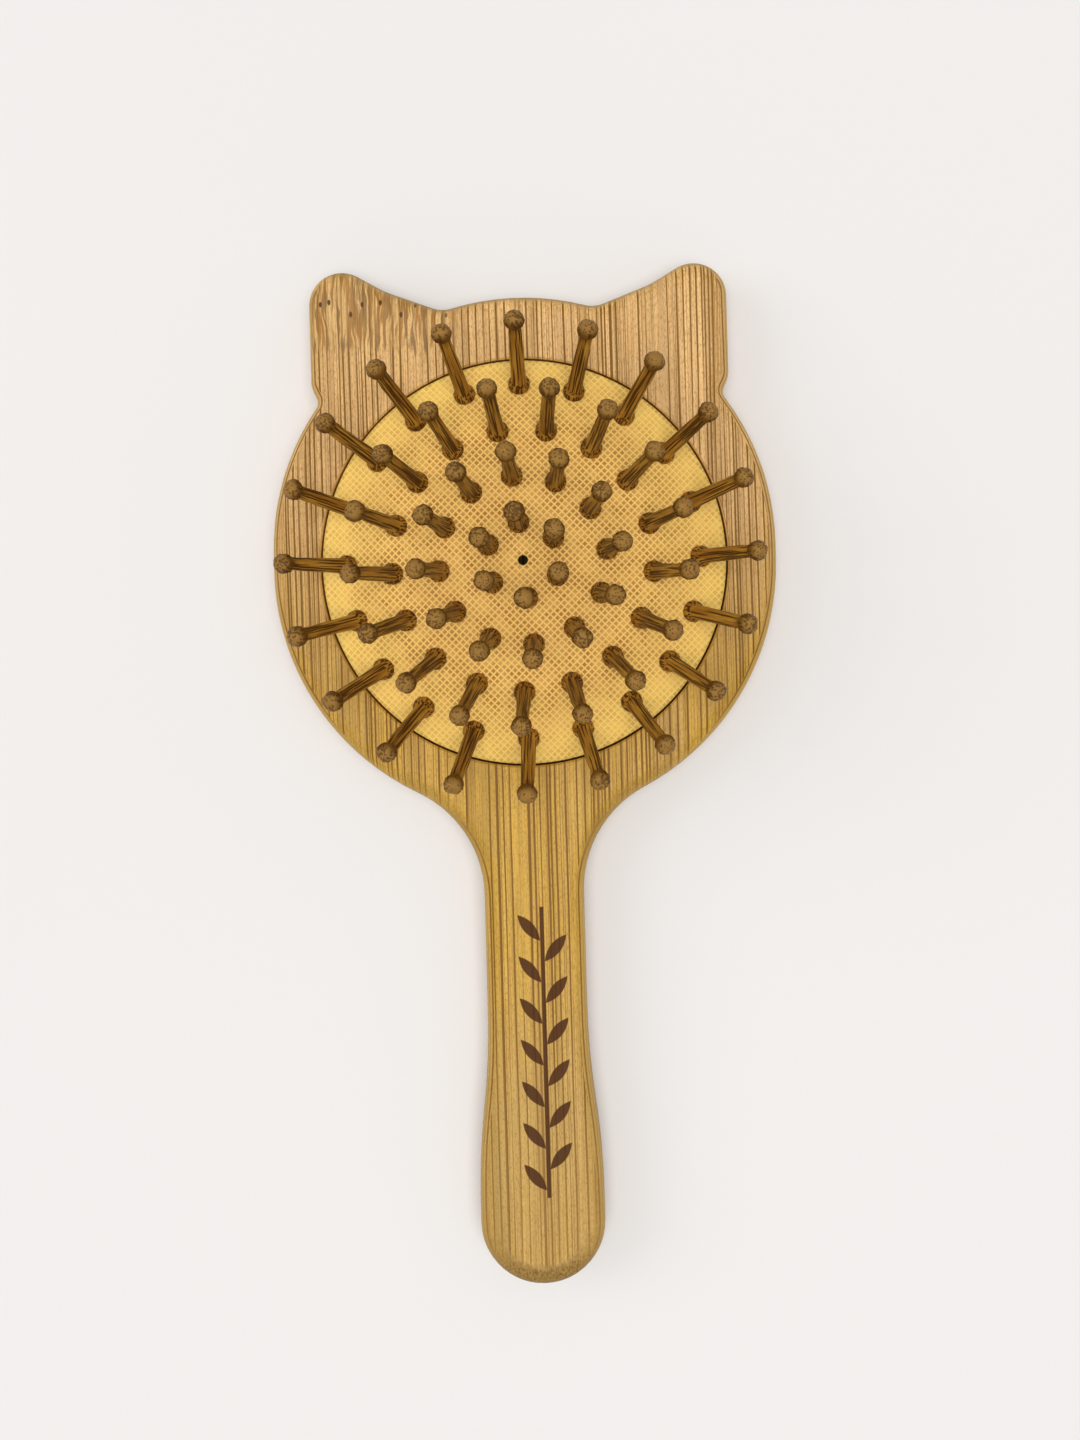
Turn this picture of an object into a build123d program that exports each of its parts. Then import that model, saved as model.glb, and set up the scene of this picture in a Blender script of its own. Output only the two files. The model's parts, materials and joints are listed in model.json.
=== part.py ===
"""Bamboo cushion brush with a cat-eared head: a board, a domed rubber cushion and ball-tipped pins.

The brush lies on its back. +Z points up through the pins, +Y towards the ears, and the handle
runs towards -Y. The origin is on the back face, under the centre of the cushion. Millimetres.
"""

import os
from math import atan, cos, radians, sin, sqrt, tan

from build123d import *

# Board
board_thickness = 11.0
edge_round = 3.0
head_radius = 42.6
head_straight = 2.9  # the head is two half discs this far apart
head_centre = 0.95  # y of the point midway between the two half discs
shoulder_radius = 19.7

# Ears, on the upper half disc
ear_inset = 7.2  # the outer side of an ear lies this far inside the side of the head
ear_width = 23.1  # from the outer side to the foot of the inner slope
ear_tip_width = 12.9  # from the outer side to where the inner slope turns steeper
ear_sink = 0.4  # the inner slope starts this far under the edge of the head
ear_slope = 20.7  # degrees, the inner slope
ear_tip_slope = 30.2  # degrees, its steeper end
ear_tip_radius = 5.6
ear_bend_radius = 16.0
ear_valley_radius = 5.0
ear_lobe = 2.7  # height of the ear's lower corner over the notch below it
ear_lobe_radius = 4.2
notch_inset = 1.3  # the notch lies this far inside the ear's outer side
notch_radius = 1.6

# Handle
neck_half_width = 8.43
neck_length = 32.4  # from the edge of the head to where the grip starts to swell
swell_length = 35.0
grip_length = 2.0  # from the full width to the centre of the round end
grip_radius = 10.54

# Round recess that holds the cushion, with an undercut for its bead
recess_rim = 8.3  # width of the board round the recess
recess_depth = 6.5
undercut = 1.4
undercut_height = 1.5
mouth_break = 0.3

# Cushion
cushion_gap = 0.4  # round the cushion, between it and the recess
cushion_rise = 8.0  # of the crown over the board's face
crown_power = 2.9  # flat in the middle and steeper towards the rim
membrane = 1.5
skirt = 2.0
bead_gap = 0.3  # between the bead and the undercut's wall and roof
vent_radius = 0.85
crown_arc_count = 5  # from the axis to the rim, in the crown and in its underside

# Pins, one turned piece each. Heights are measured along the pin from the top of the membrane.
inner_ring_radius = 6.2
ring_margin = 4.7  # from the outer ring to the edge of the cushion
ring_counts = (6, 12, 17, 20)  # from the inner ring outwards
ring_turns = (-5.0, -5.9, -9.6, 0.0)  # degrees from +Y to a ring's first pin, clockwise from above
ball_height = 17.8
ball_radius = 1.65
shank_tip_radius = 1.05
shank_root_radius = 1.25
foot_radius = 1.8
foot_height = 2.0
foot_rim = 1.1  # the straight part of the foot, below its cone
neck_radius = 0.95
button_radius = 1.6
button_rim = 0.7
button_nose = 0.8
nose_radius = 1.0
neck_clearance = 0.05
collar_gap = 0.12  # from the membrane to the pin's foot, and to the button under it

face = board_thickness
recess_floor = face - recess_depth
recess_radius = head_radius - recess_rim
cushion_radius = recess_radius - cushion_gap
bead_radius = recess_radius + undercut - bead_gap
bead_top = recess_floor + undercut_height - bead_gap
skirt_inside = cushion_radius - skirt


def crown_height(r):
    """Height over the board's face of the cushion's top at radius r."""
    return cushion_rise * (1 - (r / cushion_radius) ** crown_power)


def crown_slope(r):
    """Fall of the cushion's top at radius r, in radians."""
    return atan(cushion_rise * crown_power / cushion_radius * (r / cushion_radius) ** (crown_power - 1))


def crown_arcs(outer_radius, depth):
    """Start, middle and end of each arc of the surface this deep in the crown, from the axis outwards."""
    radii = [outer_radius * i / (2 * crown_arc_count) for i in range(2 * crown_arc_count + 1)]
    points = [(r, face + crown_height(r) - depth / cos(crown_slope(r))) for r in radii]
    return list(zip(points[::2], points[1::2], points[2::2]))


def pin_plane(radius, turn):
    """Plane through a pin's axis: its origin on the crown, its x outwards and its y along the pin."""
    lean = crown_slope(radius)
    outward = Vector(sin(turn), cos(turn), 0)
    up = Vector(0, 0, 1)
    root = outward * radius + up * (face + crown_height(radius))
    across = outward * cos(lean) - up * sin(lean)
    along = outward * sin(lean) + up * cos(lean)
    return Plane(origin=root, x_dir=across, z_dir=across.cross(along))


# One entry for each pin: its name and its plane
ring_spacing = (cushion_radius - ring_margin - inner_ring_radius) / (len(ring_counts) - 1)
pins = []
for ring, (count, first) in enumerate(zip(ring_counts, ring_turns)):
    for place in range(count):
        turn = radians(first + 360 * place / count)
        plane = pin_plane(inner_ring_radius + ring * ring_spacing, turn)
        pins.append((f"pin_ring{ring + 1}_{place + 1:02d}", plane))

os.makedirs("parts", exist_ok=True)

# The board: one plate of laminated bamboo, cut to the outline and rounded, with the recess sunk in it
upper_centre = head_centre + head_straight / 2
lower_centre = head_centre - head_straight / 2
ear_side = head_radius - ear_inset
valley_x = ear_side - ear_width
bend_x = ear_side - ear_tip_width
notch_x = ear_side - notch_inset


def head_edge(x):
    """y of the upper edge of the head at x."""
    return upper_centre + sqrt(head_radius**2 - x**2)


ear_valley = (valley_x, head_edge(valley_x) - ear_sink)
ear_bend = (bend_x, ear_valley[1] + (bend_x - valley_x) * tan(radians(ear_slope)))
ear_corner = (ear_side, ear_bend[1] + ear_tip_width * tan(radians(ear_tip_slope)))
ear_notch = (notch_x, head_edge(notch_x))
ear_foot = (ear_side, ear_notch[1] + ear_lobe)

neck_top = (neck_half_width, lower_centre - sqrt(head_radius**2 - neck_half_width**2))
neck_end = (neck_half_width, neck_top[1] - neck_length)
grip_top = (grip_radius, neck_end[1] - swell_length)
grip_end = (grip_radius, grip_top[1] - grip_length)
handle_tip = (0, grip_end[1] - grip_radius)
half_swell = (0, -swell_length / 2)  # the swell leaves and arrives in line with the handle


def both_corners(point):
    """The corner of the outline nearest to a point, and its mirror image."""
    return [outline.vertices().sort_by_distance((side * point[0], point[1]))[0] for side in (1, -1)]


with BuildPart() as board:
    with BuildSketch() as outline:
        with Locations((0, head_centre)):
            SlotCenterToCenter(head_straight, 2 * head_radius, rotation=90)
        with BuildLine():
            Polyline((0, 0), ear_valley, ear_bend, ear_corner, ear_foot, ear_notch, (0, 0))
        make_face()
        with BuildLine():
            Polyline((0, handle_tip[1]), (0, 0), (neck_half_width, 0), neck_end)
            Bezier(
                neck_end,
                Vector(*neck_end) + Vector(*half_swell),
                Vector(*grip_top) - Vector(*half_swell),
                grip_top,
            )
            Line(grip_top, grip_end)
            RadiusArc(grip_end, handle_tip, grip_radius)
        make_face()
        mirror(about=Plane.YZ)
        fillet(both_corners(ear_corner), ear_tip_radius)
        fillet(both_corners(ear_bend), ear_bend_radius)
        fillet(both_corners(ear_valley), ear_valley_radius)
        fillet(both_corners(ear_foot), ear_lobe_radius)
        fillet(both_corners(ear_notch), notch_radius)
        fillet(both_corners(neck_top), shoulder_radius)
    extrude(amount=board_thickness)
    fillet(board.faces().filter_by(Axis.Z).edges(), edge_round)
    with Locations((0, 0, face)):
        Hole(radius=recess_radius, depth=recess_depth)
    chamfer(board.faces().sort_by(Axis.Z)[-1].inner_wires().edges(), mouth_break)
    with BuildSketch(Plane.XY.offset(recess_floor)):
        Circle(recess_radius + undercut)
    extrude(amount=undercut_height, mode=Mode.SUBTRACT)
board.part.label = "bamboo_board"
export_step(board.part, "parts/bamboo_board.step")

# The cushion: a moulded rubber dome with a skirt, a bead, a vent hole and a hole for each pin
crown = crown_arcs(cushion_radius, 0)
underside = crown_arcs(skirt_inside, membrane)
drill_start = membrane  # over the crown, so that no hole starts flush with it
drill_depth = 3 * membrane

with BuildPart() as cushion:
    with BuildSketch(Plane.XZ):
        with BuildLine():
            for arc in crown + underside:
                ThreePointArc(*arc)
            Polyline(
                crown[-1][-1],
                (cushion_radius, bead_top),
                (bead_radius, bead_top),
                (bead_radius, recess_floor),
                (skirt_inside, recess_floor),
                underside[-1][-1],
            )
            Line(underside[0][0], crown[0][0])
        make_face()
    revolve(axis=Axis.Z)
    with Locations((0, 0, face + cushion_rise + drill_start)):
        Hole(radius=vent_radius, depth=drill_depth)
    roots = [Plane(plane.origin, x_dir=plane.x_dir, z_dir=plane.y_dir) for name, plane in pins]
    with Locations(*[root.offset(drill_start) for root in roots]):
        Hole(radius=neck_radius + neck_clearance, depth=drill_depth)
cushion.part.label = "rubber_cushion"
export_step(cushion.part, "parts/rubber_cushion.step")

# The pins: turned from bamboo, with a ball at the tip and a neck that the membrane grips
shank_end = ball_height - sqrt(ball_radius**2 - shank_tip_radius**2)
ball_top = (0, ball_height + ball_radius)
button_top = -membrane - collar_gap
nose = button_top - button_rim - button_nose

for name, plane in pins:
    with BuildPart() as pin:
        with BuildSketch(plane):
            with BuildLine():
                Polyline(
                    ball_top,
                    (0, nose),
                    (nose_radius, nose),
                    (button_radius, nose + button_nose),
                    (button_radius, button_top),
                    (neck_radius, button_top),
                    (neck_radius, collar_gap),
                    (foot_radius, collar_gap),
                    (foot_radius, foot_rim),
                    (shank_root_radius, foot_height),
                    (shank_tip_radius, shank_end),
                )
                ThreePointArc((shank_tip_radius, shank_end), (ball_radius, ball_height), ball_top)
            make_face()
        revolve(axis=Axis(plane.origin, plane.y_dir))
    pin.part.label = name
    export_step(pin.part, f"parts/{name}.step")
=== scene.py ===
"""Looks of the cat-eared bamboo cushion brush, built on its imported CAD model. Metres, the CAD's frame.

The brush lies on its back: +Z up through the pins, +Y towards the ears, the handle towards -Y.
"""

import json
from math import cos, pi, radians, sin, sqrt

import bmesh
import bpy
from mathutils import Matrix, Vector
from mathutils.geometry import delaunay_2d_cdt


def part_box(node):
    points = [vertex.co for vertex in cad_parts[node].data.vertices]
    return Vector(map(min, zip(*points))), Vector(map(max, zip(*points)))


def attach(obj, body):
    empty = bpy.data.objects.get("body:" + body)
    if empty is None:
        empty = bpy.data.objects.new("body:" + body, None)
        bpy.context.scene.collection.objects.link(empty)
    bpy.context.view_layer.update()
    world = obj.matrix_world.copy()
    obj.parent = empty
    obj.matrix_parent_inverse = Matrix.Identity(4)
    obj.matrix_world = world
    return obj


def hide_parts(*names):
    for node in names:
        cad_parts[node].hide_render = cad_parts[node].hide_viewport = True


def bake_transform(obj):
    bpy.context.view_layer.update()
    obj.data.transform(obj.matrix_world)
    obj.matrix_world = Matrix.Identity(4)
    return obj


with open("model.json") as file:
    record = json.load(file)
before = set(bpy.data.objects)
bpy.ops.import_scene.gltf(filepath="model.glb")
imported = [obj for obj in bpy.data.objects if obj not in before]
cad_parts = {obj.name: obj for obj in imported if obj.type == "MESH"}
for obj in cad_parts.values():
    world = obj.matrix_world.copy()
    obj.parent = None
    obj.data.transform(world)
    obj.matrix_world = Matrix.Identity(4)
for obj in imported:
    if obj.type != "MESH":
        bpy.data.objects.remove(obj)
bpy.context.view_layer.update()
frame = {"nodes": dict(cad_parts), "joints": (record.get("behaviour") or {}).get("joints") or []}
mm = 0.001

# ------------------------------------------------------------------------------------------------
# The board: one plate of laminated bamboo. Strips of cane stand on edge, glued side by side along
# the handle, and the plate is sawn to the cat's head, rounded over, sanded and oiled to a satin.
# ------------------------------------------------------------------------------------------------
strip_width = 5.3  # of one glued strip
side_shift = 60.0  # on the sides of the plate the lines lie one above another, as in another strip
bundle_size = 0.5  # of one fibre bundle and the pale cane round it
line_width, thin_line_width, thin_line_spacing = 0.2, 0.09, 0.48
node_bottom, node_row = 36.5, 43.6  # y where the joint of the cane in the left ear starts, and of its pores
node_raggedness = 11.0  # how far the streaks' lower ends wander along the handle
pore_pitch, pore_half_width, pore_half_length = 2.7, 0.3, 0.55
grip_end_y = -111.7  # centre of the handle's round end
cut_start, cut_full = 7.2, 8.4  # from that centre: where the lines give way to cut fibre ends
leaf_pitch, leaf_length, leaf_width = 7.0, 2.9, 0.95  # the burnt sprig along the handle
leaf_offset = 2.2  # from the stem to the middle of a leaf
leaf_lean = radians(40)
sprig_centre, sprig_bottom, leaf_pairs = 1.2, -107.0, 7
grain_relief = 0.04 * mm

golden = (210, 166, 66)
rosy = (236, 190, 124)
straw = (200, 162, 86)


def paint(red, green, blue):
    """An sRGB colour as the linear one a shader takes."""
    linear = [c / 255 / 12.92 if c < 10.3 else ((c / 255 + 0.055) / 1.055) ** 2.4 for c in (red, green, blue)]
    return (*linear, 1.0)


def put(tree, kind, inputs, out=0, **settings):
    """Adds a node with its settings, feeds its inputs from sockets or values, and returns one output."""
    node = tree.nodes.new(kind)
    for name, value in settings.items():
        setattr(node, name, value)
    for key, value in inputs.items():
        if isinstance(value, bpy.types.NodeSocket):
            tree.links.new(value, node.inputs[key])
        else:
            node.inputs[key].default_value = value
    return node.outputs[out]


def calc(tree, operation, *values):
    """A Math node on sockets or numbers."""
    return put(tree, "ShaderNodeMath", dict(enumerate(values)), operation=operation)


def ramp(tree, value, low, high, start=0.0, end=1.0):
    """A smooth step: start where value is low, end where it is high."""
    inputs = {0: value, 1: low, 2: high, 3: start, 4: end}
    return put(tree, "ShaderNodeMapRange", inputs, interpolation_type="SMOOTHSTEP")


def blend_colours(tree, factor, first, second, how="MIX"):
    """A colour mix; first and second are sockets or linear colours."""
    inputs = {0: factor, 6: first, 7: second}
    return put(tree, "ShaderNodeMix", inputs, out=2, data_type="RGBA", blend_type=how)


def vector(tree, x, y, z):
    return put(tree, "ShaderNodeCombineXYZ", {0: x, 1: y, 2: z})


def split(tree, value):
    """The x, y and z of a vector socket."""
    node = tree.nodes.new("ShaderNodeSeparateXYZ")
    tree.links.new(value, node.inputs[0])
    return node.outputs


def noise(tree, coordinates, scale, detail=2.0, roughness=0.5, distortion=0.0):
    """A noise texture's value, about 0.5."""
    inputs = {"Vector": coordinates, "Scale": scale, "Detail": detail}
    return put(tree, "ShaderNodeTexNoise", inputs | {"Roughness": roughness, "Distortion": distortion})


def toss(tree, number):
    """Three fixed random values between 0 and 1 for a whole number."""
    tossed = put(tree, "ShaderNodeTexWhiteNoise", {"W": number}, out="Color", noise_dimensions="1D")
    return split(tree, tossed)


def new_group(name, kind, inputs, outputs):
    """A node group with named sockets, and its own input sockets to wire from."""
    group = bpy.data.node_groups.new(name, kind)
    for socket, socket_type in inputs.items():
        group.interface.new_socket(socket, in_out="INPUT", socket_type=socket_type)
    for socket, socket_type in outputs.items():
        group.interface.new_socket(socket, in_out="OUTPUT", socket_type=socket_type)
    return group, group.nodes.new("NodeGroupInput").outputs


def place(tree, group, inputs):
    """One use of a shader node group, with its inputs by name; returns its outputs."""
    return put(tree, "ShaderNodeGroup", inputs, node_tree=group).node.outputs


def close_group(group, results):
    """Ends a node group: wires its results to its output sockets."""
    ends = group.nodes.new("NodeGroupOutput")
    for key, value in results.items():
        group.links.new(value, ends.inputs[key])


def in_millimetres(tree, metres):
    return put(tree, "ShaderNodeVectorMath", {0: metres, "Scale": 1 / mm}, operation="SCALE")


def new_material(name):
    material = bpy.data.materials.new(name)
    material.use_nodes = True
    material.node_tree.nodes.clear()
    return material


def surface(material, colour, roughness, height, bump, specular=0.5):
    """Ends a material: a Principled surface with a bump of that depth in metres."""
    tree = material.node_tree
    bumped = put(tree, "ShaderNodeBump", {"Strength": 1.0, "Distance": bump, "Height": height})
    inputs = {"Base Color": colour, "Roughness": roughness, "Normal": bumped, "Specular IOR Level": specular}
    shader = put(tree, "ShaderNodeBsdfPrincipled", inputs)
    end = tree.nodes.new("ShaderNodeOutputMaterial")
    tree.links.new(shader, end.inputs["Surface"])


# Cane is fibre bundles in a pale body. They run along z here: dots on a cut end, lines on a side.
FLOAT, VECTOR = "NodeSocketFloat", "NodeSocketVector"
cane_fibres, given = new_group(
    "cane_fibres",
    "ShaderNodeTree",
    {"Vector": VECTOR, "Size": FLOAT, "Stretch": FLOAT, "Crowding": FLOAT},
    {"Bundles": FLOAT, "Fine": FLOAT},
)
x, y, z = split(cane_fibres, given["Vector"])
along = calc(cane_fibres, "MULTIPLY", z, given["Stretch"])
frequency = calc(cane_fibres, "DIVIDE", 1.0, given["Size"])
fibre_space = vector(cane_fibres, x, y, along)
spots = {"Vector": fibre_space, "Scale": frequency, "Randomness": 1.0}
spots = put(cane_fibres, "ShaderNodeTexVoronoi", spots)
reach = ramp(cane_fibres, given["Crowding"], 0.0, 1.0, 0.22, 0.6)
edge = calc(cane_fibres, "ADD", reach, 0.16)
bundles = ramp(cane_fibres, spots, reach, edge, 1.0, 0.0)
fine_scale = calc(cane_fibres, "MULTIPLY", frequency, 4.0)
fine = noise(cane_fibres, fibre_space, fine_scale, detail=3.0)
close_group(cane_fibres, {"Bundles": bundles, "Fine": fine})

# Long dark lines along a strip: thick and thin, fading out and starting again
group_inputs = {"Across": FLOAT, "Along": FLOAT, "Spacing": FLOAT, "Width": FLOAT, "Fade": FLOAT}
lengthwise_lines, given = new_group("lengthwise_lines", "ShaderNodeTree", group_inputs, {"Lines": FLOAT})
line_number = calc(lengthwise_lines, "DIVIDE", given["Across"], given["Spacing"])
gap = put(
    lengthwise_lines,
    "ShaderNodeTexVoronoi",
    {"W": line_number, "Scale": 1.0, "Randomness": 1.0},
    voronoi_dimensions="1D",
    feature="DISTANCE_TO_EDGE",
)
faded_along = calc(lengthwise_lines, "MULTIPLY", given["Along"], given["Fade"])
strength = noise(lengthwise_lines, vector(lengthwise_lines, line_number, faded_along, 0.0), 0.85, detail=1.0)
half_width = calc(lengthwise_lines, "DIVIDE", given["Width"], given["Spacing"])
swell = ramp(lengthwise_lines, strength, 0.32, 0.68, 0.35, 1.0)
half_width = calc(lengthwise_lines, "MULTIPLY", half_width, swell)
core = calc(lengthwise_lines, "MULTIPLY", half_width, 0.65)
line = ramp(lengthwise_lines, gap, core, half_width, 1.0, 0.0)
line = calc(lengthwise_lines, "MULTIPLY", line, ramp(lengthwise_lines, strength, 0.34, 0.5))
close_group(lengthwise_lines, {"Lines": line})

board_bamboo = new_material("board_bamboo")
tree = board_bamboo.node_tree
x, y, z = split(tree, in_millimetres(tree, put(tree, "ShaderNodeTexCoord", {}, out="Object")))
normal = split(tree, put(tree, "ShaderNodeNewGeometry", {}, out="Normal"))

# Where the saw cut across the fibres: the handle's round end, and every part that faces up or down the brush
facing_end = calc(tree, "ABSOLUTE", normal["Y"])
on_handle = ramp(tree, y, -45.0, -25.0, 1.0, 0.0)
cut_wide = ramp(tree, facing_end, 0.03, 0.4, 0.0, 0.45)
past_grip_end = calc(tree, "MINIMUM", calc(tree, "SUBTRACT", y, grip_end_y), 0.0)
from_grip_end = vector(tree, x, past_grip_end, 0.0)
from_grip_end = put(tree, "ShaderNodeVectorMath", {0: from_grip_end}, out="Value", operation="LENGTH")
ragged_cut = noise(tree, vector(tree, x, calc(tree, "MULTIPLY", y, 0.3), 0.0), 1.6, detail=3.0)
from_grip_end = calc(tree, "MULTIPLY_ADD", ragged_cut, 1.6, from_grip_end)
cut_tip = ramp(tree, from_grip_end, cut_start, cut_full)
cut_tip = calc(tree, "MULTIPLY", cut_tip, ramp(tree, y, -120.0, -114.5, 1.0, 0.3))
cut_tip = calc(tree, "MULTIPLY", cut_tip, ramp(tree, y, -114.5, -112.0, 1.0, 0.0))
cut_wide = calc(tree, "MAXIMUM", cut_wide, cut_tip)
cut_narrow = ramp(tree, facing_end, 0.6, 0.95, 0.0, 0.8)
cut_across = calc(tree, "MAXIMUM", calc(tree, "MULTIPLY", cut_wide, on_handle), cut_narrow)
uncut = calc(tree, "SUBTRACT", 1.0, cut_across)

# Strips: each has its own tint, and its fibres crowd towards what was the outside of the cane
slow_wave = noise(tree, vector(tree, x, calc(tree, "MULTIPLY", y, 0.3), z), 0.05)
on_side = calc(tree, "GREATER_THAN", calc(tree, "ABSOLUTE", normal["X"]), 0.55)
across = calc(tree, "MULTIPLY_ADD", on_side, calc(tree, "SUBTRACT", calc(tree, "ADD", z, side_shift), x), x)
across = calc(tree, "MULTIPLY_ADD", slow_wave, 0.8, across)
strip = calc(tree, "DIVIDE", across, strip_width)
strip_place = calc(tree, "FRACT", strip)
strip_number = calc(tree, "FLOOR", strip)
strip_tone = toss(tree, strip_number)
crowding = ramp(tree, strip_place, 0.0, 1.0, 0.9, 0.2)
crowding = calc(tree, "MULTIPLY", crowding, ramp(tree, strip_tone["X"], 0.0, 1.0, 0.5, 1.0))
joint_line = ramp(tree, calc(tree, "PINGPONG", strip, 0.5), 0.008, 0.02, 0.5, 0.0)
joint_line = calc(tree, "MULTIPLY", joint_line, calc(tree, "SUBTRACT", 1.0, on_side))
line_spacing = ramp(tree, strip_tone["X"], 0.0, 1.0, 1.35, 0.7)
cane = {"Vector": vector(tree, across, z, y), "Size": bundle_size, "Stretch": 0.03, "Crowding": crowding}
fibres = place(tree, cane_fibres, cane)
thick = {"Across": across, "Along": y, "Spacing": line_spacing, "Width": line_width, "Fade": 0.012}
lines = calc(tree, "MULTIPLY", place(tree, lengthwise_lines, thick)["Lines"], uncut)
elsewhere = calc(tree, "ADD", across, 37.0)  # so that the thin lines are not the thick ones again
thin = {"Across": elsewhere, "Along": y, "Spacing": thin_line_spacing, "Width": thin_line_width, "Fade": 0.03}
crowded_lines = calc(tree, "MULTIPLY", uncut, ramp(tree, crowding, 0.1, 0.8, 0.3, 1.0))
crowded_lines = calc(tree, "MULTIPLY", place(tree, lengthwise_lines, thin)["Lines"], crowded_lines)

# The joint of the cane across the left ear: wavy brown streaks with a ragged end, and a row of oval pores
ragged = noise(tree, vector(tree, x, 0.0, 0.0), 1.3, detail=3.0)
node_y = calc(tree, "MULTIPLY_ADD", calc(tree, "SUBTRACT", ragged, 0.5), node_raggedness, y)
node_band = ramp(tree, node_y, node_bottom - 0.6, node_bottom + 0.8)
node_band = calc(tree, "MULTIPLY", node_band, ramp(tree, x, -14.0, -8.0, 1.0, 0.0))
sway_place = vector(tree, calc(tree, "MULTIPLY", x, 0.6), calc(tree, "MULTIPLY", y, 0.22), 0.0)
sway = noise(tree, sway_place, 1.0, detail=1.0)
swaying = calc(tree, "MULTIPLY_ADD", sway, 1.4, across)
streak_place = vector(tree, swaying, calc(tree, "MULTIPLY", y, 0.06), 0.0)
streaks = ramp(tree, noise(tree, streak_place, 1.75, detail=2.0, roughness=0.5), 0.44, 0.56)
streaks = calc(tree, "MULTIPLY", streaks, node_band)
streak_red = ramp(tree, noise(tree, streak_place, 0.8, detail=1.0), 0.42, 0.58)
pore_step = calc(tree, "DIVIDE", x, pore_pitch)
pore_toss = toss(tree, calc(tree, "FLOOR", pore_step))
pore_middle = ramp(tree, pore_toss["X"], 0.0, 1.0, 0.25, 0.75)
pore_x = calc(tree, "SUBTRACT", calc(tree, "FRACT", pore_step), pore_middle)
pore_x = calc(tree, "POWER", calc(tree, "MULTIPLY", pore_x, pore_pitch / pore_half_width), 2.0)
pore_y = calc(tree, "SUBTRACT", y, ramp(tree, pore_toss["Y"], 0.0, 1.0, node_row - 1.8, node_row + 1.2))
pore_y = calc(tree, "POWER", calc(tree, "DIVIDE", pore_y, pore_half_length), 2.0)
pores = ramp(tree, calc(tree, "ADD", pore_x, pore_y), 0.4, 1.1, 1.0, 0.0)
pores = calc(tree, "MULTIPLY", pores, node_band)

# Colour: the tint along the brush, each strip's own tone, then the grain, the node and the cut ends over it
tint = put(tree, "ShaderNodeValToRGB", {0: ramp(tree, y, -125.0, 50.0)})
tint_stops = tint.node.color_ramp.elements
tint_stops[0].color = paint(*straw)
tint_stops[1].color = paint(*rosy)
for stop, shade in ((0.1, straw), (0.26, golden), (0.66, golden), (0.86, rosy)):
    tint_stops.new(stop).color = paint(*shade)
strip_rosy = ramp(tree, strip_tone["Y"], 0.45, 1.0, 0.0, 0.6)
colour = blend_colours(tree, strip_rosy, tint, paint(212, 170, 110))
strip_light = ramp(tree, strip_tone["Z"], 0.0, 1.0, 0.88, 1.03)
bands = noise(tree, vector(tree, across, calc(tree, "MULTIPLY", y, 0.02), 0.0), 0.8)
shade = calc(tree, "MULTIPLY", strip_light, ramp(tree, bands, 0.35, 0.65, 0.9, 1.08))
colour = blend_colours(tree, 1.0, colour, vector(tree, shade, shade, shade), "MULTIPLY")
speckle_place = vector(tree, across, z, calc(tree, "MULTIPLY", y, 0.35))
speckle = noise(tree, speckle_place, 4.2, detail=2.0, roughness=0.75)
colour = blend_colours(tree, ramp(tree, speckle, 0.45, 0.7, 0.0, 0.6), colour, paint(152, 108, 46))
colour = blend_colours(tree, calc(tree, "MULTIPLY", fibres["Bundles"], 0.3), colour, paint(164, 114, 48))
colour = blend_colours(tree, calc(tree, "MULTIPLY", crowded_lines, 0.85), colour, paint(142, 98, 34))
line_strength = ramp(tree, y, -118.0, -75.0, 0.65, 1.0)
colour = blend_colours(tree, calc(tree, "MULTIPLY", lines, line_strength), colour, paint(128, 86, 8))
colour = blend_colours(tree, joint_line, colour, paint(112, 76, 18))
streak_colour = blend_colours(tree, streak_red, paint(124, 90, 46), paint(154, 102, 32))
colour = blend_colours(tree, calc(tree, "MULTIPLY", node_band, 0.35), colour, paint(222, 180, 112))
colour = blend_colours(tree, calc(tree, "MULTIPLY", streaks, 0.8), colour, streak_colour)
colour = blend_colours(tree, pores, colour, paint(88, 56, 24))
end_speckle = noise(tree, vector(tree, x, calc(tree, "MULTIPLY", y, 0.4), z), 3.4, detail=3.0, roughness=0.7)
end_colour = blend_colours(tree, ramp(tree, end_speckle, 0.35, 0.68), paint(164, 130, 64), paint(112, 80, 32))
colour = blend_colours(tree, cut_across, colour, end_colour)
# painted highlight: a pale band on the rounded edges of the face where they turn to the side, standing in for
# the bright surroundings reflected there
painted_edge_highlight = ramp(tree, normal["Z"], 0.3, 0.85, 1.0, 0.0)
painted_edge_highlight = calc(tree, "MULTIPLY", painted_edge_highlight, ramp(tree, z, 7.0, 8.5, 0.0, 0.45))
painted_edge_highlight = calc(tree, "MULTIPLY", painted_edge_highlight, uncut)
colour = blend_colours(tree, painted_edge_highlight, colour, paint(222, 184, 96))

# A plain sprig of leaves burnt into the handle: a stem, and leaves by turns on its left and right
side = calc(tree, "SUBTRACT", x, sprig_centre)
on_right = calc(tree, "GREATER_THAN", side, 0.0)
leaf_count = calc(tree, "DIVIDE", calc(tree, "SUBTRACT", y, sprig_bottom), leaf_pitch)
leaf_count = calc(tree, "MULTIPLY_ADD", on_right, 0.5, leaf_count)
leaf_up = calc(tree, "MULTIPLY", calc(tree, "SUBTRACT", calc(tree, "FRACT", leaf_count), 0.5), leaf_pitch)
leaf_out = calc(tree, "SUBTRACT", calc(tree, "ABSOLUTE", side), leaf_offset)
leaf_along = calc(tree, "MULTIPLY", leaf_out, sin(leaf_lean))
leaf_along = calc(tree, "MULTIPLY_ADD", leaf_up, cos(leaf_lean), leaf_along)
leaf_across = calc(tree, "MULTIPLY", leaf_out, cos(leaf_lean))
leaf_across = calc(tree, "MULTIPLY_ADD", leaf_up, -sin(leaf_lean), leaf_across)
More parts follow.
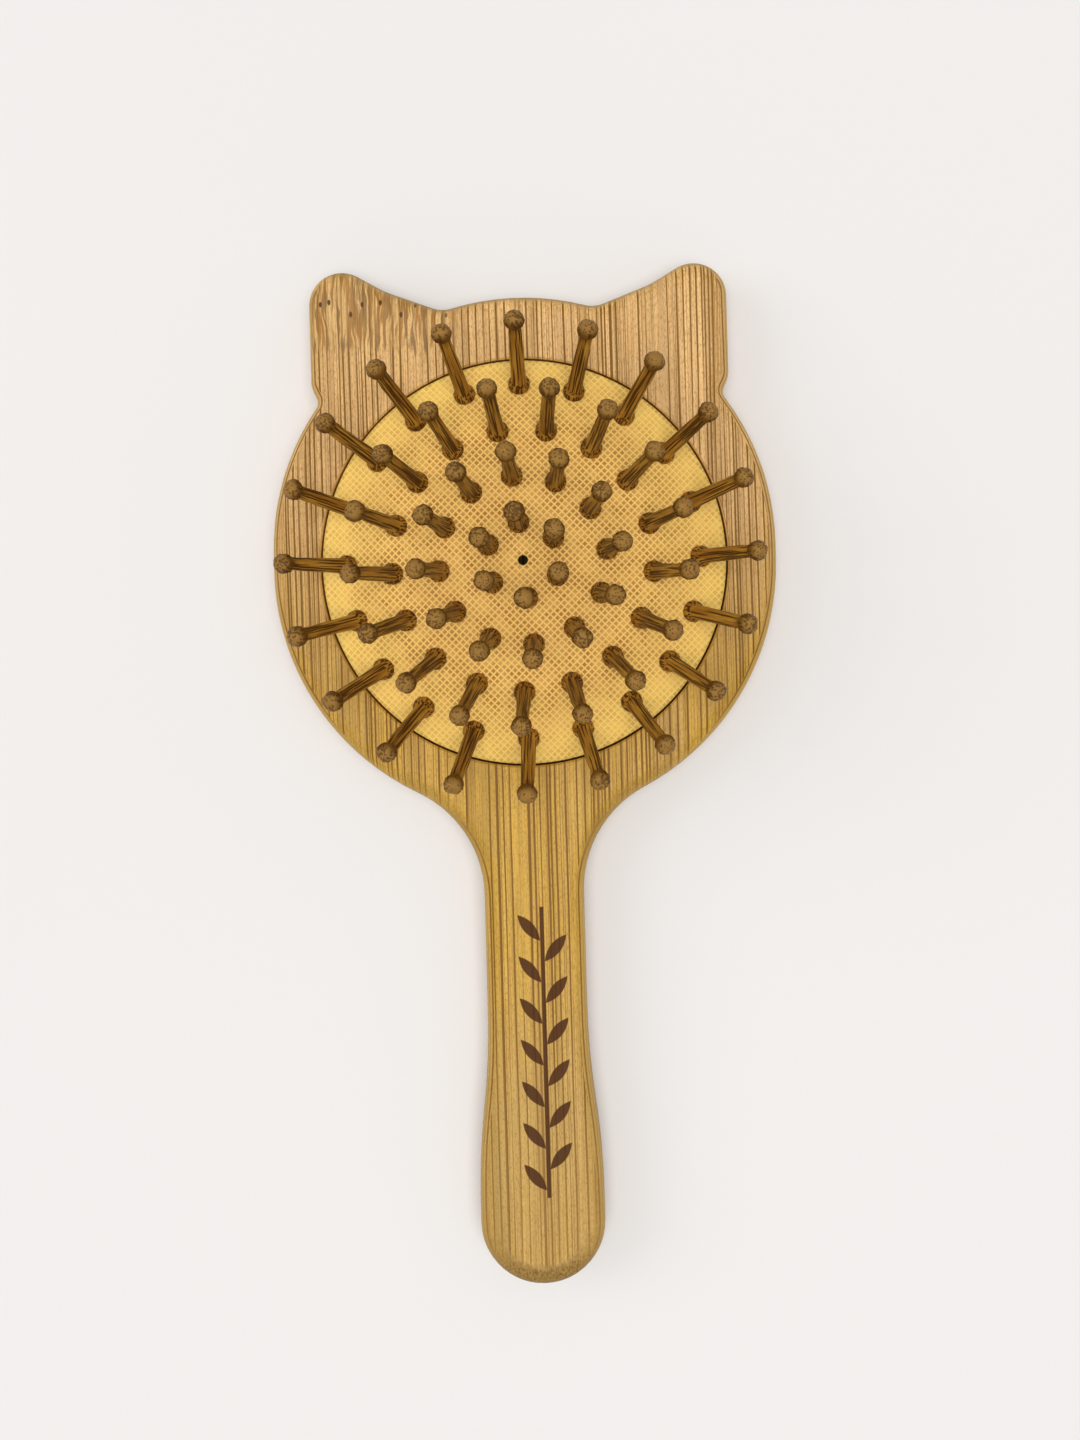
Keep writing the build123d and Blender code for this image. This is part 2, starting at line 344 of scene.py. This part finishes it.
leaf_share = calc(tree, "POWER", calc(tree, "DIVIDE", leaf_along, leaf_length), 2.0)
leaf_edge = calc(tree, "MULTIPLY", calc(tree, "SUBTRACT", 1.0, leaf_share), leaf_width)
past_leaf_edge = calc(tree, "SUBTRACT", calc(tree, "ABSOLUTE", leaf_across), leaf_edge)
leaf = ramp(tree, past_leaf_edge, -0.08, 0.08, 1.0, 0.0)
leaf_number = calc(tree, "FLOOR", leaf_count)
first_leaf = calc(tree, "SUBTRACT", on_right, 0.5)
leaf = calc(tree, "MULTIPLY", leaf, calc(tree, "GREATER_THAN", leaf_number, first_leaf))
leaf = calc(tree, "MULTIPLY", leaf, calc(tree, "LESS_THAN", leaf_number, leaf_pairs - 0.5))
sprig_top = sprig_bottom + leaf_pairs * leaf_pitch
stem = ramp(tree, calc(tree, "ABSOLUTE", side), 0.26, 0.42, 1.0, 0.0)
stem = calc(tree, "MULTIPLY", stem, ramp(tree, y, sprig_bottom - 0.1, sprig_bottom + 0.1))
stem = calc(tree, "MULTIPLY", stem, ramp(tree, y, sprig_top - 0.1, sprig_top + 0.1, 1.0, 0.0))
burnt = calc(tree, "MULTIPLY", calc(tree, "MAXIMUM", leaf, stem), ramp(tree, z, 10.5, 10.8))
colour = blend_colours(tree, calc(tree, "MULTIPLY", burnt, 0.95), colour, paint(76, 40, 12))

hollows = calc(tree, "MULTIPLY_ADD", lines, 0.7, calc(tree, "MULTIPLY", speckle, 0.3))
hollows = calc(tree, "ADD", hollows, calc(tree, "MULTIPLY_ADD", burnt, 0.8, pores))
height = calc(tree, "SUBTRACT", calc(tree, "MULTIPLY", fibres["Fine"], 0.3), hollows)
satin = ramp(tree, fibres["Fine"], 0.3, 0.7, 0.46, 0.6)
satin = calc(tree, "MULTIPLY_ADD", burnt, 0.25, satin)
surface(board_bamboo, colour, satin, height, grain_relief, specular=0.25)

board = frame["nodes"]["bamboo_board"]
board.data.materials.clear()
board.data.materials.append(board_bamboo)

# ------------------------------------------------------------------------------------------------
# The cushion: one moulding of golden rubber, a dome with a skirt and a bead that snaps under the
# lip of the recess. Its skin is pressed with rows of small square dimples, and it has a vent hole.
# ------------------------------------------------------------------------------------------------
face = 11.0 * mm
cushion_low, cushion_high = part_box("rubber_cushion")
rise = cushion_high.z - face
rim = 33.9 * mm
crown_power = 2.9
membrane = 1.5 * mm
skirt_inside = rim - 2.0 * mm
bead_radius = cushion_high.x
bead_top = 5.7 * mm
pin_hole = 1.0 * mm
vent_hole = 0.85 * mm
dimple_pitch = 0.85 * mm
dimple_mouth = 0.84  # share of the pitch
dimple_floor = 0.6  # share of the mouth
dimple_depth = 0.2 * mm
plain_rim = 0.25 * mm  # no dimple comes nearer to the rim
plain_collar = 0.12 * mm  # nor to a hole
ring_radii = (3.5, 10.0, 17.7, 25.3, 31.1)  # mm, rings of corners that keep the underside round
rim_sides, ring_sides, hole_sides = 180, 48, 14
rubber_relief = 0.012 * mm


def crown(r):
    """Height of the cushion's top at radius r."""
    return face + rise * (1 - (r / rim) ** crown_power)


def crown_slope(r):
    return rise * crown_power / rim * (r / rim) ** (crown_power - 1)


def underside(r):
    return crown(r) - membrane * sqrt(1 + crown_slope(r) ** 2)


def circle(centre, radius, sides):
    angles = [2 * pi * i / sides for i in range(sides)]
    return [(centre[0] + radius * cos(angle), centre[1] + radius * sin(angle)) for angle in angles]


def skin(outer, holes, hole_radii, cells, height_at, rings=()):
    """The corners of each face on one side of the membrane.

    The whole cells come first, as they are. Triangles fill the rest, up to the rim and the holes.
    """
    edges_used = {}
    for cell in cells:
        for a, b in zip(cell, cell[1:] + cell[:1]):
            edges_used.setdefault(frozenset((a, b)), []).append((a, b))
    points, numbers, borders = [], {}, []

    def number(point):
        key = (round(point[0] * 1e7), round(point[1] * 1e7))
        if key not in numbers:
            numbers[key] = len(points)
            points.append(Vector(point))
        return numbers[key]

    for used in edges_used.values():
        if len(used) == 1:
            borders.append((number(used[0][0]), number(used[0][1])))
    for loop in [outer, *holes, *rings]:
        ids = [number(p) for p in loop]
        borders += list(zip(ids, ids[1:] + ids[:1]))
    found, _, triangles, *_ = delaunay_2d_cdt(points, borders, [], 0, 1e-9)
    cell_keys = {key_of_cell(c) for c in cells}
    faces = [[Vector((*p, height_at(Vector(p).length))) for p in cell] for cell in cells]
    for triangle in triangles:
        corners = [found[i] for i in triangle]
        middle = sum(corners, Vector((0, 0))) / 3
        in_hole = any((middle - Vector(c)).length < r for c, r in hole_radii)
        if not in_hole and key_at(middle) not in cell_keys:
            faces.append([Vector((*p, height_at(p.length))) for p in corners])
    return faces


def key_at(point):
    """The dimple cell that a point lies in; the rows run at 45 degrees to the handle."""
    u = (point[0] + point[1]) / sqrt(2) / dimple_pitch
    v = (point[1] - point[0]) / sqrt(2) / dimple_pitch
    return int(u // 1), int(v // 1)


def key_of_cell(cell):
    return key_at((sum(p[0] for p in cell) / 4, sum(p[1] for p in cell) / 4))


def corner_of(i, j):
    return ((i - j) * dimple_pitch / sqrt(2), (i + j) * dimple_pitch / sqrt(2))


# Each pin's foot: the hinge in the middle of the membrane, and the line from there to the ball's top
pin_lines = {}
for joint in frame["joints"]:
    if joint["type"] == "hinge":
        hinge = Vector(joint["pos_m"])
        corners = [v.co for v in frame["nodes"][joint["child"]].data.vertices]
        along = (max(corners, key=lambda c: (c - hinge).length) - hinge).normalized()
        pin_lines[joint["child"]] = (hinge + along * membrane / 2, along)

top_holes = [((0, 0), vent_hole)] + [((root.x, root.y), pin_hole) for root, along in pin_lines.values()]
under_holes = [((0, 0), vent_hole)]
for root, along in pin_lines.values():
    inner = root - along * membrane
    under_holes.append(((inner.x, inner.y), pin_hole))

cells = []
span = int(rim / dimple_pitch) + 2
for i in range(-span, span):
    for j in range(-span, span):
        cell = [corner_of(i, j), corner_of(i + 1, j), corner_of(i + 1, j + 1), corner_of(i, j + 1)]
        inside = all(sqrt(px**2 + py**2) < rim - plain_rim for px, py in cell)
        clear = all(
            (px - centre[0]) ** 2 + (py - centre[1]) ** 2 > (radius + plain_collar) ** 2
            for px, py in cell
            for centre, radius in top_holes
        )
        if inside and clear:
            cells.append(cell)

top_loops = [circle(c, r, hole_sides) for c, r in top_holes]
under_loops = [circle(c, r, hole_sides) for c, r in under_holes]
top_rim = circle((0, 0), rim, rim_sides)
under_rim = circle((0, 0), skirt_inside, rim_sides)
under_rings = [circle((0, 0), r * mm, ring_sides) for r in ring_radii]
top_faces = skin(top_rim, top_loops, top_holes, cells, crown)
under_faces = skin(under_rim, under_loops, under_holes, [], underside, under_rings)

walls = []
for top_loop, under_loop in zip(top_loops, under_loops):
    upper = [Vector((*p, crown(Vector(p).length))) for p in top_loop]
    lower = [Vector((*p, underside(Vector(p).length))) for p in under_loop]
    for k in range(hole_sides):
        walls.append([upper[k], upper[k - 1], lower[k - 1], lower[k]])
section = [(rim, face), (rim, bead_top), (bead_radius, bead_top), (bead_radius, cushion_low.z)]
section += [(skirt_inside, cushion_low.z), (skirt_inside, underside(skirt_inside))]
for (r0, z0), (r1, z1) in zip(section, section[1:]):
    outer = [Vector((*p, z0)) for p in circle((0, 0), r0, rim_sides)]
    inner = [Vector((*p, z1)) for p in circle((0, 0), r1, rim_sides)]
    for k in range(rim_sides):
        walls.append([outer[k - 1], outer[k], inner[k], inner[k - 1]])

moulding = bmesh.new()
dimpled = moulding.faces.layers.int.new("dimpled")
for corners in top_faces + under_faces + walls:
    new_face = moulding.faces.new([moulding.verts.new(p) for p in corners])
    new_face[dimpled] = 0
moulding.faces.ensure_lookup_table()
for new_face in moulding.faces[: len(cells)]:
    new_face[dimpled] = 1
bmesh.ops.remove_doubles(moulding, verts=moulding.verts, dist=0.5e-6)
bmesh.ops.recalc_face_normals(moulding, faces=moulding.faces)
cushion_mesh = bpy.data.meshes.new("moulded_cushion")
moulding.to_mesh(cushion_mesh)
moulding.free()

cushion_rubber = new_material("cushion_rubber")
tree = cushion_rubber.node_tree
here = in_millimetres(tree, put(tree, "ShaderNodeTexCoord", {}, out="Object"))
x, y, z = split(tree, here)
row_u = calc(tree, "DIVIDE", calc(tree, "ADD", x, y), sqrt(2) * dimple_pitch / mm)
row_v = calc(tree, "DIVIDE", calc(tree, "SUBTRACT", y, x), sqrt(2) * dimple_pitch / mm)
off_u = calc(tree, "ABSOLUTE", calc(tree, "SUBTRACT", calc(tree, "FRACT", row_u), 0.5))
off_v = calc(tree, "ABSOLUTE", calc(tree, "SUBTRACT", calc(tree, "FRACT", row_v), 0.5))
mouth_edge = dimple_mouth / 2
pit = ramp(tree, calc(tree, "MAXIMUM", off_u, off_v), mouth_edge * dimple_floor, mouth_edge, 1.0, 0.0)
cloudy = noise(tree, here, 0.12, detail=3.0)
grainy = noise(tree, here, 6.0, detail=2.0)
uneven = noise(tree, here, 0.45, detail=2.0)
# painted shade: the crown of the dome a touch darker and more orange than its rim, as if less light reached
# the middle
crown_painted_shade = ramp(tree, z, 11.0, 19.0)
colour = blend_colours(tree, crown_painted_shade, paint(255, 216, 114), paint(255, 208, 114))
colour = blend_colours(tree, ramp(tree, cloudy, 0.35, 0.7, 0.0, 0.35), colour, paint(246, 196, 112))
colour = blend_colours(tree, ramp(tree, grainy, 0.3, 0.8, 0.0, 0.2), colour, paint(214, 164, 84))
# painted shade: the dimples' floors darker than the ridges, unevenly, and more so higher up the dome
pit_painted_shade = ramp(tree, uneven, 0.3, 0.7, 0.5, 1.0)
pit_painted_shade = calc(tree, "MULTIPLY", pit_painted_shade, ramp(tree, z, 12.0, 17.0, 0.5, 1.0))
colour = blend_colours(tree, calc(tree, "MULTIPLY", pit, pit_painted_shade), colour, paint(174, 124, 52))
# painted shade: the rubber darkened where it goes down below the board's face into the gap round the recess
gap_painted_shade = ramp(tree, z, 10.2, 11.1, 0.75, 0.0)
colour = blend_colours(tree, gap_painted_shade, colour, paint(120, 76, 30))
rubbery = ramp(tree, cloudy, 0.3, 0.7, 0.5, 0.66)
surface(cushion_rubber, colour, rubbery, grainy, rubber_relief, specular=0.25)

# Geometry Nodes press a dimple into each whole cell: a flat ridge round it, sloping sides and a floor
GEOMETRY, MATERIAL = "NodeSocketGeometry", "NodeSocketMaterial"
press, given = new_group(
    "press_dimples",
    "GeometryNodeTree",
    {"Skin": GEOMETRY, "Mouth": FLOAT, "Floor": FLOAT, "Depth": FLOAT, "Rubber": MATERIAL},
    {"Skin": GEOMETRY},
)


def sink(mesh, chosen, offset, size):
    """Extrudes the chosen faces and scales what is on top; returns the mesh and the new faces."""
    raised = {"Mesh": mesh, "Selection": chosen, "Offset Scale": offset}
    raised = put(press, "GeometryNodeExtrudeMesh", raised).node.outputs
    scaled = {"Geometry": raised["Mesh"], "Selection": raised["Top"], "Scale": size}
    return put(press, "GeometryNodeScaleElements", scaled), raised["Top"]


def smooth_solid(tree, geometry, material):
    """Ends a geometry tree: smooth shading, real geometry and its material."""
    smooth = put(tree, "GeometryNodeSetShadeSmooth", {"Geometry": geometry})
    real = put(tree, "GeometryNodeRealizeInstances", {0: smooth})
    return put(tree, "GeometryNodeSetMaterial", {"Geometry": real, "Material": material})


whole = put(press, "GeometryNodeInputNamedAttribute", {"Name": "dimpled"}, data_type="INT")
mouth, mouth_faces = sink(given["Skin"], whole, 0.0, given["Mouth"])
down = calc(press, "MULTIPLY", given["Depth"], -1.0)
pressed, _ = sink(mouth, mouth_faces, down, given["Floor"])
close_group(press, {"Skin": smooth_solid(press, pressed, given["Rubber"])})


def modified(name, mesh, group, values):
    """An object whose mesh a Geometry Nodes group makes, with the group's inputs set by name."""
    piece = bpy.data.objects.new(name, mesh)
    bpy.context.scene.collection.objects.link(piece)
    modifier = piece.modifiers.new(group.name, "NODES")
    modifier.node_group = group
    sockets = {item.name: item.identifier for item in group.interface.items_tree if item.in_out == "INPUT"}
    for key, value in values.items():
        modifier[sockets[key]] = value
    return piece


def make_plain(pieces):
    """Turns modified pieces into plain meshes."""
    graph = bpy.context.evaluated_depsgraph_get()
    made = [bpy.data.meshes.new_from_object(piece.evaluated_get(graph)) for piece in pieces]
    for piece, mesh in zip(pieces, made):
        piece.modifiers.clear()
        piece.data = mesh
        mesh.name = piece.name


dimples = {"Mouth": dimple_mouth, "Floor": dimple_floor, "Depth": dimple_depth, "Rubber": cushion_rubber}
cushion = modified("moulded_cushion", cushion_mesh, press, dimples)
make_plain([cushion])
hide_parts("rubber_cushion")
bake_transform(cushion)

# ------------------------------------------------------------------------------------------------
# The pins: 55 pieces of heat-browned bamboo, each turned with a ball at the tip, a tapering shank
# and a flared foot. A neck under the foot is pushed through the rubber, and a button holds it.
# ------------------------------------------------------------------------------------------------
ball_height = 17.8
ball_radius = 1.645  # a hair under the model's, so that an uneven ball stays inside it
shank_tip_radius = 1.05
shank_root_radius = 1.25
foot_radius = 1.8
foot_height = 2.0
shank_steps, ball_steps = 8, 9
flute_depth = 0.14 * mm
ball_unevenness = 0.03 * mm
most_bend = 0.1 * mm
pin_sides = 20
pin_relief = 0.02 * mm

# Heights above the membrane and radii, from the button's nose to the top of the ball, in mm
turning = [(-3.12, 0.0), (-3.1, 0.9), (-3.02, 1.02), (-2.36, 1.56), (-2.25, 1.6), (-1.68, 1.58), (-1.62, 1.5)]
turning += [(-1.6, 0.95), (0.1, 0.95), (0.12, 1.7), (0.2, foot_radius), (0.65, foot_radius)]
turning += [(1.05, foot_radius - 0.02), (1.2, 1.72), (1.75, 1.38), (foot_height, shank_root_radius + 0.02)]
shank_end = ball_height - sqrt(ball_radius**2 - shank_tip_radius**2)
for step in range(1, shank_steps + 1):
    share = step / shank_steps
    height = foot_height + (shank_end - foot_height) * share
    turning.append((height, shank_root_radius + (shank_tip_radius - shank_root_radius) * share))
first_angle = -0.905  # where the ball rises out of the shank
for step in range(1, ball_steps + 1):
    angle = first_angle + (pi / 2 - first_angle) * step / ball_steps
    turning.append((ball_height + ball_radius * sin(angle), ball_radius * cos(angle)))

blank = bpy.data.meshes.new("pin_blank")
blank.from_pydata([(0, 0, h * mm) for h, r in turning], [(k, k + 1) for k in range(len(turning) - 1)], [])
girth = blank.attributes.new("girth", "FLOAT", "POINT")
girth.data.foreach_set("value", [max(r, 0.0) * mm for h, r in turning])

lathe, given = new_group(
    "turn_pin",
    "GeometryNodeTree",
    {
        "Blank": GEOMETRY,
        "Sides": "NodeSocketInt",
        "Root": VECTOR,
        "Along": VECTOR,
        "Seed": "NodeSocketInt",
        "Flutes": FLOAT,
        "Unevenness": FLOAT,
        "Bend": FLOAT,
        "Bamboo": MATERIAL,
    },
    {"Pin": GEOMETRY},
)
axis_line = put(lathe, "GeometryNodeMeshToCurve", {"Mesh": given["Blank"]})
width = put(lathe, "GeometryNodeInputNamedAttribute", {"Name": "girth"}, data_type="FLOAT")
hoop = put(lathe, "GeometryNodeCurvePrimitiveCircle", {"Resolution": given["Sides"], "Radius": 1.0})
turned = put(lathe, "GeometryNodeCurveToMesh", {"Curve": axis_line, "Profile Curve": hoop, "Scale": width})
turned = put(lathe, "GeometryNodeMergeByDistance", {"Geometry": turned, "Distance": 0.5e-6})
where = put(lathe, "GeometryNodeInputPosition", {})
x, y, z = split(lathe, where)
outwards = put(lathe, "ShaderNodeVectorMath", {0: vector(lathe, x, y, 0.0)}, operation="NORMALIZE")
z_mm = calc(lathe, "MULTIPLY", z, 1 / mm)
seed_shift = calc(lathe, "MULTIPLY", given["Seed"], 7.31)
out_x, out_y, _ = split(lathe, outwards)
stretched_z = calc(lathe, "MULTIPLY", z_mm, 0.05)
round_the_pin = vector(lathe, calc(lathe, "ADD", out_x, seed_shift), out_y, stretched_z)
flutes = noise(lathe, round_the_pin, 1.7, detail=2.0)
flutes = calc(lathe, "MULTIPLY", calc(lathe, "SUBTRACT", flutes, 0.5), given["Flutes"])
above_rubber = ramp(lathe, z_mm, 0.1, 0.8, 0.0, 2.0)
flutes = calc(lathe, "MULTIPLY", flutes, above_rubber)
seeded = vector(lathe, seed_shift, 0.0, 0.0)
seeded = put(lathe, "ShaderNodeVectorMath", {0: in_millimetres(lathe, where), 1: seeded}, operation="ADD")
lumps = calc(lathe, "SUBTRACT", noise(lathe, seeded, 0.75, detail=1.0), 0.55)
lumps = calc(lathe, "MULTIPLY", calc(lathe, "MULTIPLY", lumps, given["Unevenness"]), above_rubber)
radial = {0: outwards, "Scale": calc(lathe, "ADD", flutes, lumps)}
radial = put(lathe, "ShaderNodeVectorMath", radial, operation="SCALE")
any_way = {0: (-1.0, -1.0, 0.0), 1: (1.0, 1.0, 0.0), "Seed": given["Seed"]}
any_way = put(lathe, "FunctionNodeRandomValue", any_way, data_type="FLOAT_VECTOR")
up_the_shank = put(lathe, "ShaderNodeMapRange", {0: z_mm, 1: foot_height, 2: 18.0, 3: 0.0, 4: 1.0})
bend_share = calc(lathe, "MULTIPLY", calc(lathe, "POWER", up_the_shank, 1.5), given["Bend"])
bend_way = put(lathe, "ShaderNodeVectorMath", {0: any_way, "Scale": bend_share}, operation="SCALE")
placed = {"Geometry": turned, "Name": "turned_place", "Value": seeded}
keep_place = put(lathe, "GeometryNodeStoreNamedAttribute", placed, data_type="FLOAT_VECTOR", domain="POINT")
shift = put(lathe, "ShaderNodeVectorMath", {0: radial, 1: bend_way}, operation="ADD")
shaped = put(lathe, "GeometryNodeSetPosition", {"Geometry": keep_place, "Offset": shift})
any_turn = {2: 0.0, 3: 2 * pi, "Seed": given["Seed"]}
spin = put(lathe, "FunctionNodeRandomValue", any_turn, out=1, data_type="FLOAT")
spun = put(lathe, "GeometryNodeTransform", {"Geometry": shaped, "Rotation": vector(lathe, 0.0, 0.0, spin)})
turn_up = put(lathe, "FunctionNodeAlignRotationToVector", {"Vector": given["Along"]}, axis="Z")
set_in = {"Geometry": spun, "Translation": given["Root"], "Rotation": turn_up}
set_in = put(lathe, "GeometryNodeTransform", set_in)
close_group(lathe, {"Pin": smooth_solid(lathe, set_in, given["Bamboo"])})

pin_bamboo = new_material("pin_bamboo")
tree = pin_bamboo.node_tree
local = put(tree, "ShaderNodeAttribute", {}, out="Vector", attribute_name="turned_place")
x, y, z = split(tree, local)
fibres = place(tree, cane_fibres, {"Vector": local, "Size": 0.3, "Stretch": 0.02, "Crowding": 0.5})
tone = noise(tree, vector(tree, x, y, calc(tree, "MULTIPLY", z, 0.05)), 0.9, detail=2.0)
pore_openness = ramp(tree, noise(tree, vector(tree, x, 0.0, 0.0), 0.21), 0.35, 0.65, 0.1, 0.65)
on_ball = ramp(tree, z, 16.3, 17.3)
on_foot = ramp(tree, z, 1.5, 2.4, 1.0, 0.0)
colour = blend_colours(tree, ramp(tree, tone, 0.35, 0.65), paint(158, 106, 34), paint(198, 146, 54))
# painted light and shade: the ball pale on its top and dark down its sides and underneath, as light from
# above would fall on it
ball_painted_light = blend_colours(tree, ramp(tree, z, 18.0, 19.2), paint(92, 60, 18), paint(152, 116, 60))
colour = blend_colours(tree, calc(tree, "MULTIPLY", on_ball, 0.85), colour, ball_painted_light)
colour = blend_colours(tree, calc(tree, "MULTIPLY", on_foot, 0.25), colour, paint(122, 76, 24))
colour = blend_colours(tree, ramp(tree, fibres["Fine"], 0.35, 0.75, 0.0, 0.5), colour, paint(104, 62, 18))
on_shank = calc(tree, "SUBTRACT", 1.0, on_ball)
dark_fibres = calc(tree, "MULTIPLY", fibres["Bundles"], calc(tree, "MULTIPLY", on_shank, 0.9))
pore_grain = {"Vector": local, "Size": 0.38, "Stretch": 0.1, "Crowding": pore_openness}
ball_pores = place(tree, cane_fibres, pore_grain)["Bundles"]
ball_pores = calc(tree, "MULTIPLY", ball_pores, calc(tree, "MULTIPLY", on_ball, 0.65))
dark_fibres = calc(tree, "MAXIMUM", dark_fibres, ball_pores)
colour = blend_colours(tree, dark_fibres, colour, paint(58, 30, 8))
height = calc(tree, "SUBTRACT", calc(tree, "MULTIPLY", fibres["Fine"], 0.5), dark_fibres)
sheen = ramp(tree, fibres["Fine"], 0.3, 0.7, 0.35, 0.5)
surface(pin_bamboo, colour, sheen, height, pin_relief, specular=0.08)

pins = {}
for seed, (node, (root, along)) in enumerate(pin_lines.items(), start=1):
    values = {"Sides": pin_sides, "Root": root, "Along": along, "Seed": seed, "Flutes": flute_depth}
    values |= {"Unevenness": ball_unevenness, "Bend": most_bend, "Bamboo": pin_bamboo}
    pins[node] = modified("turned_" + node, blank, lathe, values)
make_plain(list(pins.values()))
for node, pin in pins.items():
    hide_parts(node)
    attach(pin, node)

# ------------------------------------------------------------------------------------------------
# The pale floor under the brush, soft studio light from all round, and the camera over the brush.
# ------------------------------------------------------------------------------------------------
floor_reach = 20.0
floor_z = -0.05 * mm  # just clear of the brush's back
camera_height = 300.0 * mm  # over the board's face
room_light, backdrop_light = 0.4, 0.9  # on the brush, and as the camera sees it

floor_mesh = bpy.data.meshes.new("floor")
floor_corners = [(i * floor_reach, j * floor_reach, floor_z) for i, j in ((-1, -1), (1, -1), (1, 1), (-1, 1))]
floor_mesh.from_pydata(floor_corners, [], [(0, 1, 2, 3)])
floor = bpy.data.objects.new("floor", floor_mesh)
bpy.context.scene.collection.objects.link(floor)
pale = new_material("pale_floor")
tree = pale.node_tree
here = put(tree, "ShaderNodeTexCoord", {}, out="Object")
faint = noise(tree, here, 3.0)
colour = blend_colours(tree, faint, paint(229, 227, 225), paint(233, 231, 230))
surface(pale, colour, 0.8, faint, 0.01 * mm, specular=0.2)
floor_mesh.materials.append(pale)

world = bpy.data.worlds.new("studio")
world.use_nodes = True
tree = world.node_tree
seen = put(tree, "ShaderNodeLightPath", {}, out="Is Camera Ray")
background = tree.nodes["Background"].inputs
background["Color"].default_value = (1.0, 0.985, 0.97, 1.0)
light_strength = calc(tree, "MULTIPLY_ADD", seen, backdrop_light - room_light, room_light)
tree.links.new(light_strength, background["Strength"])
bpy.context.scene.world = world


def soft_sun(name, direction, spread, strength):
    """A soft light from far away, shining the way that direction says."""
    lamp = bpy.data.lights.new(name, "SUN")
    lamp.angle = radians(spread)
    lamp.energy = strength
    light = bpy.data.objects.new(name, lamp)
    light.rotation_euler = Vector(direction).to_track_quat("-Z", "Y").to_euler()
    bpy.context.scene.collection.objects.link(light)


soft_sun("overhead", (-0.05, 0.05, -1.0), 35, 1.95)
soft_sun("low_left", (0.8, -0.2, -0.6), 40, 0.5)

lens_data = bpy.data.cameras.new("camera")
lens_data.lens = 44.6
lens_data.sensor_width = 36.0
lens_data.shift_x = -0.030
lens_data.shift_y = -0.055
lens_data.clip_start = 0.01
camera = bpy.data.objects.new("camera", lens_data)
camera.location = (9.5 * mm, -13.5 * mm, face + camera_height)
camera.rotation_euler = (0, 0, radians(-1.6))
bpy.context.scene.collection.objects.link(camera)
bpy.context.scene.camera = camera
bpy.context.scene.view_settings.view_transform = "Standard"
